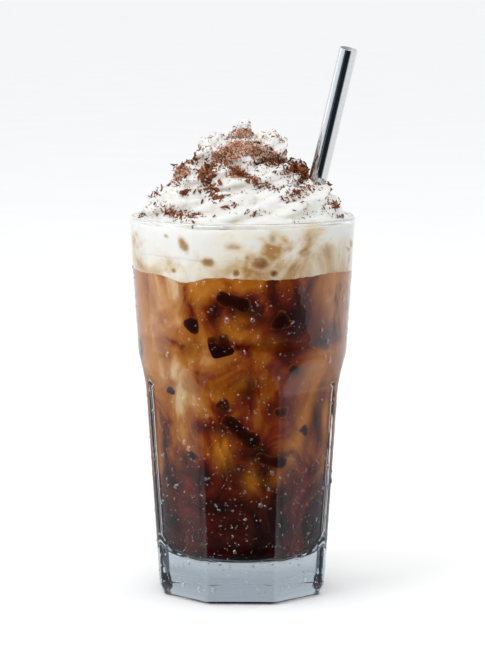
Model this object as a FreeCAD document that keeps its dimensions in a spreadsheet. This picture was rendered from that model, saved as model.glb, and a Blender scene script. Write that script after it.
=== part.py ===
# Iced coffee in a heavy eight-panelled tumbler, with whipped cream and a steel straw.
# Millimetres, +Z up. The origin is the centre of the tumbler's foot on the table,
# and -Y is the side from which the straw leans to the right.
import FreeCAD, Part
import math
import os
import re
import Sketcher

V = FreeCAD.Vector
doc = FreeCAD.newDocument("iced_coffee")

# ---------------------------------------------------------------------------
# Driving dimensions
# ---------------------------------------------------------------------------
SIZES = [
    # tumbler, outside
    ("glass_height", 150.0),
    ("rim_radius", 44.5),
    ("lip_radius", 1.3),
    ("shoulder_height", 98.0),
    ("shoulder_radius", 41.4),
    ("foot_radius", 34.85),
    ("foot_bevel", 1.5),
    ("foot_bevel_height", 3.4),
    # eight flat panels, pressed into the round body below the shoulder; the rise
    # leaves a narrow round band between two panels
    ("panel_count", 8),
    ("panel_rise", 0.4),
    ("panel_top_height", 80.5),
    ("panel_runout_radius", 46.0),
    ("panel_clearance", 4.0),
    # tumbler, inside: the floor, and the walls measured in from the panels
    ("floor_height", 15.0),
    ("floor_corner_radius", 10.0),
    ("foot_wall", 3.8),
    ("waist_wall", 5.1),
    ("waist_height", 84.0),
    ("bend_radius", 22.5),
    ("shoulder_wall", 2.8),
    ("bend_rise", 20.0),
    # shallow hollow under the foot
    ("hollow_radius", 25.0),
    ("hollow_depth", 1.2),
    # levels of the drink, measured down from the rim
    ("coffee_drop", 20.2),
    ("foam_depth", 7.0),
    # whipped cream above the rim
    ("cream_rise", 38.6),
    ("cream_wall_gap", 1.7),
    ("cream_root_depth", 6.0),
    # drinking straw; its foot is measured in from the wall of the floor
    ("straw_length", 205.7),
    ("straw_radius", 3.6),
    ("straw_wall", 0.5),
    ("straw_lean_right", 0.2265),
    ("straw_lean_front", 0.19),
    ("straw_foot_left", 3.4),
    ("straw_foot_inset", 5.8),
    ("straw_seat_gap", 0.1),
]
sheet = doc.addObject("Spreadsheet::Sheet", "Dimensions")
for row, (alias, number) in enumerate(SIZES, start=1):
    sheet.set("A%d" % row, alias)
    sheet.set("B%d" % row, str(number))
    sheet.setAlias("B%d" % row, alias)
doc.recompute()
size = {alias: float(sheet.get(alias)) for alias, number in SIZES}


def bound(text):
    """The same formula, with every size read from the sheet."""
    names = "|".join(sorted(size, key=len, reverse=True))
    return re.sub(r"\b(" + names + r")\b", r"Dimensions.\1", text)


def value(text):
    """A formula's number at the present sizes."""
    return float(sheet.evalExpression(text))


# ---------------------------------------------------------------------------
# Sketch helpers
# ---------------------------------------------------------------------------
def plane_of(body, role):
    for feature in body.Origin.OriginFeatures:
        if feature.Role == role:
            return feature
    raise RuntimeError("no plane " + role)


def arc_between(start, end, radius, left):
    """Arc from start to end that bulges to the left or the right of the way."""
    chord = end - start
    middle = (start + end) * 0.5
    side = V(-chord.y, chord.x, 0).normalize()
    reach = math.sqrt(max(0.0, radius ** 2 - (chord.Length / 2) ** 2))
    centre = middle - side * reach if left else middle + side * reach
    crest = side * radius if left else side * -radius
    return Part.Arc(start, centre + crest, end)


def closed_profile(body, name, role, outline):
    """A fully dimensioned closed sketch.

    Each entry is (x formula, y formula, bend), where bend is None for a straight
    run to the next point, or (radius formula, "left" or "right") for an arc.
    """
    sketch = body.newObject("Sketcher::SketchObject", name)
    sketch.AttachmentSupport = [(plane_of(body, role), "")]
    sketch.MapMode = "FlatFace"
    points = [V(value(x), value(y), 0) for x, y, bend in outline]
    starts = []
    for index, (x, y, bend) in enumerate(outline):
        start = points[index]
        end = points[(index + 1) % len(points)]
        if bend is None:
            sketch.addGeometry(Part.LineSegment(start, end))
            starts.append((1, 2))
            continue
        arc = arc_between(start, end, value(bend[0]), bend[1] == "left")
        number = sketch.addGeometry(arc)
        first = sketch.getPoint(number, 1)
        starts.append((1, 2) if (first - start).Length < 1e-6 else (2, 1))
    count = len(outline)
    for index in range(count):
        after = (index + 1) % count
        sketch.addConstraint(Sketcher.Constraint(
            "Coincident", index, starts[index][1], after, starts[after][0]))
    for index, (x, y, bend) in enumerate(outline):
        corner = starts[index][0]
        for axis, line, formula in (("DistanceX", -2, x), ("DistanceY", -1, y)):
            if formula == "0":
                sketch.addConstraint(Sketcher.Constraint(
                    "PointOnObject", index, corner, line))
                continue
            number = sketch.addConstraint(Sketcher.Constraint(
                axis, index, corner, value(formula)))
            sketch.setExpression("Constraints[%d]" % number, bound(formula))
        if bend is not None:
            number = sketch.addConstraint(Sketcher.Constraint(
                "Radius", index, value(bend[0])))
            sketch.setExpression("Constraints[%d]" % number, bound(bend[0]))
    return sketch


def revolved(body, name, sketch):
    turn = body.newObject("PartDesign::Revolution", name)
    turn.Profile = (sketch, [""])
    turn.ReferenceAxis = (sketch, ["V_Axis"])
    turn.Angle = 360.0
    return turn


# ---------------------------------------------------------------------------
# Tumbler: one turned section, then eight panels pressed into it
# ---------------------------------------------------------------------------
# radius of the round body level with the top of the panels' straight part
WAIST = ("(foot_radius + (shoulder_radius - foot_radius) * (panel_top_height"
         " - foot_bevel_height) / (shoulder_height - foot_bevel_height))")
PANEL_FOOT = "(foot_radius * cos(180 / panel_count) + panel_rise)"
PANEL_TOP = "(%s * cos(180 / panel_count) + panel_rise)" % WAIST
INNER_FOOT = "(%s - foot_wall)" % PANEL_FOOT
INNER_WAIST = "(%s - waist_wall)" % PANEL_TOP
INNER_SHOULDER = "(shoulder_radius - shoulder_wall)"
INNER = [
    ("0", "floor_height", None),
    (INNER_FOOT + " - floor_corner_radius", "floor_height",
     ("floor_corner_radius", "right")),
    (INNER_FOOT, "floor_height + floor_corner_radius", None),
    (INNER_WAIST, "waist_height", ("bend_radius", "right")),
    ("(%s + %s) / 2" % (INNER_WAIST, INNER_SHOULDER), "waist_height + bend_rise / 2",
     ("bend_radius", "left")),
    (INNER_SHOULDER, "waist_height + bend_rise", None),
]
RIM_INSIDE = ("rim_radius - 2 * lip_radius", "glass_height - lip_radius")
LIP_CREST = ("rim_radius - lip_radius", "glass_height")

glass = doc.addObject("PartDesign::Body", "glass")
section = closed_profile(glass, "TumblerSection", "XZ_Plane", INNER + [
    RIM_INSIDE + (("lip_radius", "left"),),
    LIP_CREST + (("lip_radius", "left"),),
    ("rim_radius", "glass_height - lip_radius", None),
    ("shoulder_radius", "shoulder_height", None),
    ("foot_radius", "foot_bevel_height", None),
    ("foot_radius - foot_bevel", "0", None),
    ("hollow_radius", "0", None),
    ("hollow_radius - hollow_depth", "hollow_depth", None),
    ("0", "hollow_depth", None),
])
revolved(glass, "TumblerTurned", section)
doc.recompute()
round_volume = glass.Shape.Volume

OUTSIDE = "(rim_radius + panel_clearance)"
PANEL_TILT = ("atan((%s - %s) / (panel_top_height - foot_bevel_height))"
              % (PANEL_TOP, PANEL_FOOT))
RUNOUT_TURN = ("acos(cos(%s) - (%s - %s) / panel_runout_radius)"
               % (PANEL_TILT, OUTSIDE, PANEL_TOP))
RUNOUT_TOP = ("panel_top_height + panel_runout_radius * (sin(%s) - sin(%s))"
              % (RUNOUT_TURN, PANEL_TILT))
panel = closed_profile(glass, "PanelSection", "XZ_Plane", [
    (PANEL_FOOT + " - foot_bevel", "0", None),
    (PANEL_FOOT, "foot_bevel_height", None),
    (PANEL_TOP, "panel_top_height", ("panel_runout_radius", "right")),
    (OUTSIDE, RUNOUT_TOP, None),
    (OUTSIDE, "0 - panel_clearance", None),
    (PANEL_FOOT + " - foot_bevel", "0 - panel_clearance", None),
])
press = glass.newObject("PartDesign::Pocket", "PanelCut")
press.Profile = (panel, [""])
press.SideType = "Symmetric"
press.Type = "Length"
press.setExpression("Length", bound("4 * rim_radius"))
doc.recompute()
ring = glass.newObject("PartDesign::PolarPattern", "PanelRing")
ring.Originals = [press]
ring.Axis = (plane_of(glass, "Z_Axis"), [""])
ring.Angle = 360.0
ring.setExpression("Occurrences", bound("panel_count"))
glass.Tip = ring
doc.recompute()
print("turned %.1f cm3, panelled %.1f cm3" % (round_volume / 1e3, glass.Shape.Volume / 1e3))
if glass.Shape.Volume > 0.97 * round_volume:
    raise RuntimeError("the panels cut nothing")


# ---------------------------------------------------------------------------
# The room inside the tumbler, up to the lip
# ---------------------------------------------------------------------------
room = doc.addObject("PartDesign::Body", "Room")
room_section = closed_profile(room, "RoomSection", "XZ_Plane", INNER + [
    RIM_INSIDE + (None,),
    ("0", "glass_height - lip_radius", None),
])
revolved(room, "RoomTurned", room_section)
doc.recompute()


# ---------------------------------------------------------------------------
# Straw: a plain tube that stands on the rounded corner of the floor
# ---------------------------------------------------------------------------
def floor_at(radius):
    """Height of the inside floor at a distance from the axis."""
    flat = value(INNER_FOOT) - size["floor_corner_radius"]
    if radius <= flat:
        return size["floor_height"]
    corner = size["floor_corner_radius"]
    out = min(radius - flat, corner)
    return size["floor_height"] + corner - math.sqrt(corner ** 2 - out ** 2)


foot_x = -size["straw_foot_left"]
foot_y = value(INNER_FOOT + " - straw_foot_inset")
lean = V(size["straw_lean_right"], -size["straw_lean_front"], 1.0).normalize()
across = lean.cross(V(0, 1, 0)).normalize()
upward = across.cross(lean)
seat = -1e9
for step in range(72):
    angle = math.radians(5.0 * step)
    edge = (across * math.cos(angle) + upward * math.sin(angle)) * size["straw_radius"]
    place = V(foot_x, foot_y, 0) + edge
    seat = max(seat, floor_at(math.hypot(place.x, place.y)) - edge.z)
straw_foot = V(foot_x, foot_y, seat + size["straw_seat_gap"])
straw_place = FreeCAD.Placement(straw_foot, FreeCAD.Rotation(V(0, 0, 1), lean))
print("straw foot at z %.2f, mouth at %s" % (
    straw_foot.z, straw_foot + lean * size["straw_length"]))

straw = doc.addObject("PartDesign::Body", "straw")
ring_sketch = straw.newObject("Sketcher::SketchObject", "StrawRing")
ring_sketch.AttachmentSupport = [(plane_of(straw, "XY_Plane"), "")]
ring_sketch.MapMode = "FlatFace"
for index, formula in enumerate(("straw_radius", "straw_radius - straw_wall")):
    circle = Part.Circle(V(0, 0, 0), V(0, 0, 1), value(formula))
    ring_sketch.addGeometry(circle)
    ring_sketch.addConstraint(Sketcher.Constraint("Coincident", index, 3, -1, 1))
    number = ring_sketch.addConstraint(Sketcher.Constraint("Radius", index, value(formula)))
    ring_sketch.setExpression("Constraints[%d]" % number, bound(formula))
tube = straw.newObject("PartDesign::Pad", "StrawTube")
tube.Profile = (ring_sketch, [""])
tube.setExpression("Length", bound("straw_length"))
straw.Placement = straw_place

bore = doc.addObject("Part::Cylinder", "StrawWay")
bore.setExpression("Radius", bound("straw_radius"))
bore.setExpression("Height", bound("straw_length"))
bore.Placement = straw_place
doc.recompute()


# ---------------------------------------------------------------------------
# Levels: the uneven top of the coffee and the uneven top of the milky foam
# ---------------------------------------------------------------------------
coffee_level = value("glass_height - coffee_drop")


def coffee_top(x, y):
    """Rises and dips by a couple of millimetres, where cream sinks into it."""
    swell = 0.9 * math.sin(0.105 * x + 0.4) * math.cos(0.09 * y - 0.3)
    dip = 3.2 * math.exp(-((x + 21.0) ** 2 + (y + 34.0) ** 2) / 60.0)
    return coffee_level + swell - dip


def foam_top(x, y):
    swell = 1.6 * math.sin(0.08 * x - 0.6) + 1.1 * math.cos(0.12 * y + 0.05 * x)
    return coffee_level + size["foam_depth"] + swell


def block_under(name, surface):
    """All the space under a wavy surface, down past the tumbler's floor."""
    reach = size["rim_radius"] + 2.0
    steps = 18
    grid = []
    for i in range(steps + 1):
        x = -reach + 2 * reach * i / steps
        grid.append([V(x, -reach + 2 * reach * j / steps,
                       surface(x, -reach + 2 * reach * j / steps))
                     for j in range(steps + 1)])
    sheet_of_points = Part.BSplineSurface()
    sheet_of_points.interpolate(grid)
    block = doc.addObject("Part::Feature", name)
    block.Shape = sheet_of_points.toShape().extrude(V(0, 0, -size["glass_height"]))
    return block


coffee_block = block_under("CoffeeBlock", coffee_top)
foam_block = block_under("FoamBlock", foam_top)


# ---------------------------------------------------------------------------
# Whipped cream: a piped rope that climbs in four turns to a curled tip
# ---------------------------------------------------------------------------
# each turn of the rope, in shares of the mound's foot radius: height of its middle
# above the rim, radius of the ring it lies on, half of the rope's thickness
TURNS = [
    (0.037, 0.734, 0.224),
    (0.286, 0.510, 0.204),
    (0.498, 0.311, 0.187),
    (0.697, 0.162, 0.149),
]
CLIMB = 0.124
# folds across the rope: lobes round the mound, depth in the same shares, phase
FOLDS = [(7, 0.0286, 0.4), (4, 0.0224, 2.1), (11, 0.0112, 5.0)]
foot_reach = value("rim_radius - 2 * lip_radius - cream_wall_gap")


def cream_radius(height, angle):
    """Distance of the cream's skin from the axis, at a height above the rim."""
    core = max(0.0, 1.0 - max(height, 0.0) / size["cream_rise"])
    total = (0.77 * foot_reach * core ** 0.9) ** 8
    for number, (middle, ring_share, thick_share) in enumerate(TURNS):
        along = ((angle - 1.9 * number) / (2 * math.pi)) % 1.0
        centre = foot_reach * (middle + CLIMB * (abs(2 * along - 1) - 0.5))
        thick = foot_reach * thick_share
        off = (height - centre) / thick
        if abs(off) < 1.0:
            total += (foot_reach * ring_share + thick * math.sqrt(1 - off * off)) ** 8
    fold = 0.0
    for lobes, deep, phase in FOLDS:
        fold += foot_reach * deep * math.sin(lobes * angle + phase + 0.23 * height)
    skin = total ** 0.125
    return max(0.7, skin + fold * min(1.0, skin / (0.6 * foot_reach)))


def cream_mound():
    levels = 27
    around = 64
    foot = size["glass_height"] - size["cream_root_depth"]
    top = size["glass_height"] + size["cream_rise"]
    rows = []
    for level in range(levels):
        share = level / (levels - 1.0)
        z = foot + (top - foot) * (1 - (1 - share) ** 1.25)
        height = z - size["glass_height"]
        bend = V(2.6 * share ** 3, 0.8 * math.sin(3 * share), 0)
        # in the tumbler the mound keeps clear of the wall, and it swells over the rim
        limit = foot_reach * (1 + 0.01 * height) if height < 0 else foot_reach + 0.1 * height
        ring = []
        for step in range(around):
            angle = 2 * math.pi * step / around
            radius = min(cream_radius(height, angle), limit)
            ring.append(V(radius * math.cos(angle), radius * math.sin(angle), z) + bend)
        ring.append(ring[0])
        rows.append(ring)
    skin = Part.BSplineSurface()
    skin.interpolate(rows)
    side = skin.toShape()
    caps = []
    for edge in side.Edges:
        if edge.isClosed() and edge.BoundBox.ZLength < 0.01:
            caps.append(Part.Face(Part.Wire([edge])))
    shell = Part.Shell([side] + caps)
    shell.sewShape()
    solid = Part.Solid(shell)
    if solid.Volume < 0:
        solid.reverse()
    return solid


mound = doc.addObject("Part::Feature", "CreamMound")
mound.Shape = cream_mound()
print("mound %.1f cm3, valid %s" % (mound.Shape.Volume / 1e3, mound.Shape.isValid()))


# ---------------------------------------------------------------------------
# Booleans that share the room between coffee, foam and cream
# ---------------------------------------------------------------------------
def combined(kind, name, first, second):
    result = doc.addObject("Part::" + kind, name)
    result.Base = first
    result.Tool = second
    return result


coffee_full = combined("Common", "CoffeeFull", room, coffee_block)
coffee = combined("Cut", "coffee", coffee_full, straw)
over_coffee = combined("Cut", "OverCoffee", room, coffee_block)
foam_full = combined("Common", "FoamFull", over_coffee, foam_block)
milk_foam = combined("Cut", "milk_foam", foam_full, bore)
band = combined("Cut", "CreamBand", over_coffee, foam_block)
cream_full = combined("Fuse", "CreamFull", band, mound)
whipped_cream = combined("Cut", "whipped_cream", cream_full, bore)
doc.recompute()

# ---------------------------------------------------------------------------
# Checks and STEP files
# ---------------------------------------------------------------------------
NODES = {
    "glass": glass,
    "coffee": coffee,
    "milk_foam": milk_foam,
    "whipped_cream": whipped_cream,
    "straw": straw,
}
for item in doc.Objects:
    if "Invalid" in item.State or "Error" in item.State:
        raise RuntimeError("%s failed: %s" % (item.Name, item.State))
os.makedirs("parts", exist_ok=True)
for node, item in NODES.items():
    item.Label = node
    shape = item.Shape
    if shape.isNull() or not shape.isValid():
        raise RuntimeError(node + " has no valid shape")
    print("%-14s solids %d  volume %.2f cm3  box %s" % (
        node, len(shape.Solids), shape.Volume / 1e3, shape.BoundBox))
for node, item in NODES.items():
    item.Shape.exportStep("parts/%s.step" % node)
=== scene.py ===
# %% [markdown]
# # Iced coffee with whipped cream
#
# A tall eight-panelled tumbler holds cold coffee, milk that sinks through it in
# threads, ice, a layer of foam and a piped crown of whipped cream with grated
# chocolate. A steel drinking straw leans in the ice. The hard pieces come from the
# CAD frame, and this script gives them their finish and models the soft food.
# Lengths are in millimetres until a mesh is made, because kitchen sizes are easier
# to read that way.

# %% Frame and units
import bpy
import math
import random
import numpy as np
from mathutils import Matrix, Vector, noise
from mathutils.bvhtree import BVHTree


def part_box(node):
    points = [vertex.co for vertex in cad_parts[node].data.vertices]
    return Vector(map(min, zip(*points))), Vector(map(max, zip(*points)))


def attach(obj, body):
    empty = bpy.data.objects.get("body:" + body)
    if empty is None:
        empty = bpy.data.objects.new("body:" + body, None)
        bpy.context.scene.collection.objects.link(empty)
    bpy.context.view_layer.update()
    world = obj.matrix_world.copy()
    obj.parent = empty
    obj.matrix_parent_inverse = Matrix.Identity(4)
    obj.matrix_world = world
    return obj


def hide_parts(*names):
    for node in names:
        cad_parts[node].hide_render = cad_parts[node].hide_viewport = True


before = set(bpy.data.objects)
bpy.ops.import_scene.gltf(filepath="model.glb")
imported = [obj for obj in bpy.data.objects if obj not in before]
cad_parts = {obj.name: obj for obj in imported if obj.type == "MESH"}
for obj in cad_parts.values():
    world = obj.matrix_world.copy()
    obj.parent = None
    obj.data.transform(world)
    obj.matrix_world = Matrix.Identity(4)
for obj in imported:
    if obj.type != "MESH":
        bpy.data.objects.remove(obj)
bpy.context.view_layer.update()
MM = 0.001
dice = random.Random(7)
# mathutils' noise vectors start from the clock unless they are given a seed
noise.seed_set(7)

glass_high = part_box("glass")[1]
RIM = glass_high.x / MM
HEIGHT = glass_high.z / MM
print("tumbler %.1f mm wide, %.1f mm tall" % (2 * RIM, HEIGHT))

# %% [markdown]
# ## Colours and nodes
# Paint charts give colours as sRGB hex values, but light adds up in linear values,
# so one function turns the first into the second. Another adds a shader node with
# its settings and its links in a single call, which keeps each material short.


# %% Colour and node helpers
def linear(code, alpha=1.0):
    """Linear RGBA from an sRGB hex code such as "f2e8d5"."""
    parts = [int(code[i:i + 2], 16) / 255 for i in (0, 2, 4)]
    low = [p / 12.92 if p <= 0.04045 else ((p + 0.055) / 1.055) ** 2.4 for p in parts]
    return (*low, alpha)


def add(tree, kind, sockets=None, stops=(), **settings):
    """A new node: settings are its own fields, sockets are values or links, and stops
    are the (place, hex) pairs of a colour ramp."""
    node = tree.nodes.new(kind)
    for field, setting in settings.items():
        setattr(node, field, setting)
    for socket, source in (sockets or {}).items():
        if isinstance(source, bpy.types.NodeSocket):
            tree.links.new(source, node.inputs[socket])
        else:
            node.inputs[socket].default_value = source
    if stops:
        elements = node.color_ramp.elements
        while len(elements) < len(stops):
            elements.new(0.5)
        for element, (place, code) in zip(elements, stops):
            element.position = place
            element.color = linear(code)
    return node


def new_material(name, values=None):
    """A material with one Principled shader, set to plain values, and its tree."""
    material = bpy.data.materials.new(name)
    material.use_nodes = True
    tree = material.node_tree
    tree.nodes.clear()
    shader = add(tree, "ShaderNodeBsdfPrincipled", values)
    add(tree, "ShaderNodeOutputMaterial", {"Surface": shader.outputs["BSDF"]})
    return material, tree, shader


def place_in_mm(tree):
    """Where a point of the piece is, in millimetres, as a vector socket."""
    where = add(tree, "ShaderNodeTexCoord").outputs["Object"]
    return add(tree, "ShaderNodeVectorMath", {0: where, "Scale": 1 / MM},
               operation="SCALE").outputs["Vector"]


# %% [markdown]
# ## Meshes from rows
# Most pieces here are round: a row of points circles the axis at each height, and
# neighbouring rows are joined by quads. The same helper makes the tumbler, the
# coffee, the foam and the ropes of cream.


# %% Mesh helpers
def piece(name, points, faces, material, slot):
    """A smooth mesh object from points in millimetres, riding on the root body."""
    mesh = bpy.data.meshes.new(name)
    mesh.from_pydata([tuple(p) for p in np.asarray(points) * MM], [], faces)
    mesh.validate()
    mesh.polygons.foreach_set("use_smooth", [True] * len(mesh.polygons))
    mesh.materials.append(material)
    thing = bpy.data.objects.new(name, mesh)
    bpy.context.scene.collection.objects.link(thing)
    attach(thing, "root")
    print("%s: %d points, %d faces" % (name, len(points), len(faces)))
    return thing


def lathe(rows):
    """Points and quads of closed rows, the first and last capped by a fan."""
    around = len(rows[0])
    points = np.concatenate(rows)
    faces = []
    for row in range(len(rows) - 1):
        for step in range(around):
            after = (step + 1) % around
            a, b = row * around, (row + 1) * around
            faces.append((a + step, a + after, b + after, b + step))
    for row, turn in ((0, -1), (len(rows) - 1, 1)):
        points = np.vstack([points, rows[row].mean(axis=0)])
        hub = len(points) - 1
        for step in range(around):
            pair = [row * around + step, row * around + (step + 1) % around]
            faces.append((hub, *pair[::turn]))
    return points, faces


def gathered(parts):
    """Points and faces of several meshes as one mesh."""
    faces, offset = [], 0
    for points, own_faces in parts:
        faces += [tuple(i + offset for i in face) for face in own_faces]
        offset += len(points)
    return np.concatenate([points for points, _ in parts]), faces


AROUND = 320
turn_angles = np.arange(AROUND) * 2 * math.pi / AROUND


def ring(radius, height):
    """One row of points; radius and height may differ round the row."""
    return np.column_stack([
        radius * np.cos(turn_angles), radius * np.sin(turn_angles),
        height + 0 * turn_angles])


# %% [markdown]
# ## The tumbler's outside
# Such a tumbler is pressed: a plunger forces hot glass into a mould, which gives
# thick walls, flat panels with soft edges and a heavy foot. The CAD solid has the
# true sizes with crisp edges. Here the same section is turned as a fine mesh, and a
# soft minimum of the round body and the panels melts the edges as fire does.

# %% Outside of the pressed glass
LIP = 1.3
SHOULDER_Z, SHOULDER_R = 98.0, 41.4
FOOT_R, BEVEL, BEVEL_Z = 34.85, 1.5, 3.4
PANELS, PANEL_RISE = 8, 0.4
PANEL_TOP_Z, RUNOUT_R = 80.5, 46.0
HOLLOW_R, HOLLOW_DEEP = 25.0, 1.2
EDGE_SOFTNESS = 0.16

heights = np.linspace(0.0, HEIGHT - LIP, 1200)
round_wall = np.interp(heights, [0, BEVEL_Z, SHOULDER_Z, HEIGHT - LIP],
                       [FOOT_R - BEVEL, FOOT_R, SHOULDER_R, RIM])
flat_share = math.cos(math.pi / PANELS)
panel_foot = FOOT_R * flat_share + PANEL_RISE
panel_top = float(np.interp(PANEL_TOP_Z, heights, round_wall)) * flat_share + PANEL_RISE
tilt = math.atan((panel_top - panel_foot) / (PANEL_TOP_Z - BEVEL_Z))
centre_r = panel_top + RUNOUT_R * math.cos(tilt)
centre_z = PANEL_TOP_Z - RUNOUT_R * math.sin(tilt)
runout = centre_r - np.sqrt(np.maximum(RUNOUT_R ** 2 - (heights - centre_z) ** 2, 0.0))
panel_wall = np.where(
    heights < PANEL_TOP_Z,
    np.interp(heights, [0, BEVEL_Z, PANEL_TOP_Z], [panel_foot - BEVEL, panel_foot, panel_top]),
    runout)


def softened(values, reach):
    """Rounds the corners of a wall's profile over about reach millimetres."""
    step = heights[1] - heights[0]
    half = int(3 * reach / step)
    weights = np.exp(-0.5 * (np.arange(-half, half + 1) * step / reach) ** 2)
    padded = np.concatenate([
        2 * values[0] - values[half:0:-1], values, 2 * values[-1] - values[-2:-half - 2:-1]])
    return np.convolve(padded, weights / weights.sum(), mode="valid")


round_wall = softened(round_wall, 0.7)
panel_wall = softened(panel_wall, 0.7)


def outer_radius(angle, height):
    """Radius of the tumbler's outside at an angle and a height, in millimetres."""
    sector = 2 * math.pi / PANELS
    off = (angle + sector / 2) % sector - sector / 2
    body = np.interp(height, heights, round_wall)
    panel = np.interp(height, heights, panel_wall)
    near = panel / np.cos(off)
    beside = panel / np.cos(sector - np.abs(off))
    walls = np.stack([body + 0 * angle, near, beside])
    least = walls.min(axis=0)
    return least - EDGE_SOFTNESS * np.log(np.exp(-(walls - least) / EDGE_SOFTNESS).sum(axis=0))


print("panels stand %.2f mm from the axis at the foot, %.2f mm at the top" % (
    panel_foot, panel_top))

# %% [markdown]
# ## The room inside
# What fills the tumbler has to follow its inside exactly. The frame already knows
# that shape, so rays from the axis to the CAD wall measure it, height by height.

# %% Inside of the wall, measured on the frame
cad_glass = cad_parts["glass"]
graph = bpy.context.evaluated_depsgraph_get()
cad_wall = BVHTree.FromObject(cad_glass, graph)


def wall_by_ray(height):
    """Largest distance from the axis to the inside wall, in millimetres."""
    far = 0.0
    for step in range(16):
        angle = math.pi * step / 8 + 0.07
        hit = cad_wall.ray_cast(Vector((0, 0, height * MM)),
                                Vector((math.cos(angle), math.sin(angle), 0)))
        far = max(far, hit[3] / MM)
    return far


FLOOR = cad_wall.ray_cast(Vector((0, 0, 0.08)), Vector((0, 0, -1)))[0].z / MM
LIP_Z = HEIGHT - LIP
room_heights = np.concatenate([
    FLOOR + 0.02 + 10.5 * np.linspace(0, 1, 40) ** 2, np.arange(FLOOR + 11, LIP_Z, 0.75)])
room_radii = np.array([wall_by_ray(z) for z in room_heights])


def room_radius(height):
    return np.interp(height, room_heights, room_radii)


print("floor at %.1f mm, inside radius %.1f mm at the rim" % (FLOOR, room_radii[-1]))

# %% [markdown]
# ## Clear pressed glass
# Soda-lime glass has an IOR of 1.52 and a very faint blue-grey tint that only the
# thick foot shows. A little tint per millimetre through the volume and a greyer
# surface at the foot give it that colour and leave the thin wall clear; the grey at
# the foot is partly painted shade for the darker view through it.


# %% Glass material
def soda_lime_glass():
    material, tree, shader = new_material("soda_lime_glass", {
        "Roughness": 0.0, "IOR": 1.52, "Transmission Weight": 1.0})
    place = place_in_mm(tree)
    up = add(tree, "ShaderNodeSeparateXYZ", {"Vector": place}).outputs["Z"]
    # the heavy foot is seen through much more glass than the wall: its surface is painted
    # greyer, partly as the tint of that glass and partly as painted shade
    share = add(tree, "ShaderNodeMapRange", {
        "Value": up, "From Min": 11.0, "From Max": 15.0}).outputs["Result"]
    foot_tint_and_painted_shade = add(tree, "ShaderNodeValToRGB", {"Fac": share}, stops=[
        (0.0, "c3ccd3"), (1.0, "fcfdfd")]).outputs["Color"]
    tree.links.new(foot_tint_and_painted_shade, shader.inputs["Base Color"])
    # pressed glass is never quite even: waves about 14 mm long and very shallow
    waves = add(tree, "ShaderNodeTexNoise", {"Vector": place, "Scale": 0.07, "Detail": 2.0})
    bump = add(tree, "ShaderNodeBump", {
        "Height": waves.outputs["Fac"], "Strength": 0.25, "Distance": 0.0004})
    tree.links.new(bump.outputs["Normal"], shader.inputs["Normal"])
    tint = add(tree, "ShaderNodeVolumeAbsorption")
    tint.inputs["Color"].default_value = linear("98a6b2")
    tint.inputs["Density"].default_value = 12.0
    output = next(n for n in tree.nodes if n.type == "OUTPUT_MATERIAL")
    tree.links.new(tint.outputs["Volume"], output.inputs["Volume"])
    return material


# %% Tumbler
def tumbler():
    inner_lip_r = RIM - 2 * LIP
    rows = []
    for z in np.linspace(0.0, 1.0, 7)[1:]:
        rows.append(ring((room_radii[0] - 0.3) * z, FLOOR))
    for z in np.concatenate([room_heights[1:40:2], np.arange(room_heights[40], LIP_Z, 1.8)]):
        rows.append(ring(room_radius(z), z))
    for bend in np.linspace(0, math.pi, 13):
        rows.append(ring(inner_lip_r + LIP - LIP * math.cos(bend), LIP_Z + LIP * math.sin(bend)))
    for z in np.concatenate([np.arange(LIP_Z - 0.75, 104, -1.2), np.arange(104, 78, -0.5),
                             np.arange(78, 6, -1.5), np.arange(6, 0.6, -0.3)]):
        rows.append(ring(outer_radius(turn_angles, z), z))
    edge = outer_radius(turn_angles, 0.6)
    for bend in np.linspace(0, math.pi / 2, 6)[1:]:
        rows.append(ring(edge - 0.6 * (1 - math.cos(bend)), 0.6 * (1 - math.sin(bend))))
    for share in (0.35, 0.7, 1.0):
        rows.append(ring((edge - 0.6) * (1 - share) + HOLLOW_R * share, 0.0))
    rows.append(ring(HOLLOW_R - 0.5 * HOLLOW_DEEP, 0.5 * HOLLOW_DEEP))
    for share in (1.0, 0.75, 0.5, 0.25, 0.05):
        rows.append(ring((HOLLOW_R - HOLLOW_DEEP) * share, HOLLOW_DEEP))
    points, faces = lathe(rows[::-1])
    return piece("tumbler", points, faces, soda_lime_glass(), "glass")


glass = tumbler()
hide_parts("glass")

# %% [markdown]
# ## Levels
# Cream sinks into the coffee in places, so the line between them is uneven. The
# coffee, the foam and the cream in the tumbler share these levels, and each reaches
# a hair into the glass: an air gap there would show as a silvery skin.

# %% Levels of the drink
COFFEE_LEVEL = HEIGHT - 20.2
FOAM_DEEP = 7.0
COFFEE_BITE, FOAM_BITE, ICE_BITE = 0.10, 0.16, 0.14


def coffee_top(x, y):
    swell = 0.9 * np.sin(0.105 * x + 0.4) * np.cos(0.09 * y - 0.3)
    dip = 3.2 * np.exp(-((x + 21.0) ** 2 + (y + 34.0) ** 2) / 60.0)
    return COFFEE_LEVEL + swell - dip


def foam_top(x, y):
    return (COFFEE_LEVEL + FOAM_DEEP + 1.6 * np.sin(0.08 * x - 0.6)
            + 1.1 * np.cos(0.12 * y + 0.05 * x))


FINE = 480
fine_angles = np.arange(FINE) * 2 * math.pi / FINE


def level_at_wall(level, ragged):
    """Heights of a level round the wall, with a ragged edge so many mm deep."""
    x, y = 40 * np.cos(fine_angles), 40 * np.sin(fine_angles)
    frills = np.array([noise.fractal(Vector((a * 0.45, b * 0.45, 3.0)), 0.7, 2.0, 4)
                       for a, b in zip(x, y)])
    return level(x, y) + ragged * frills


coffee_line = level_at_wall(coffee_top, 0.35)
foam_line = level_at_wall(foam_top, 0.8)


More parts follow.
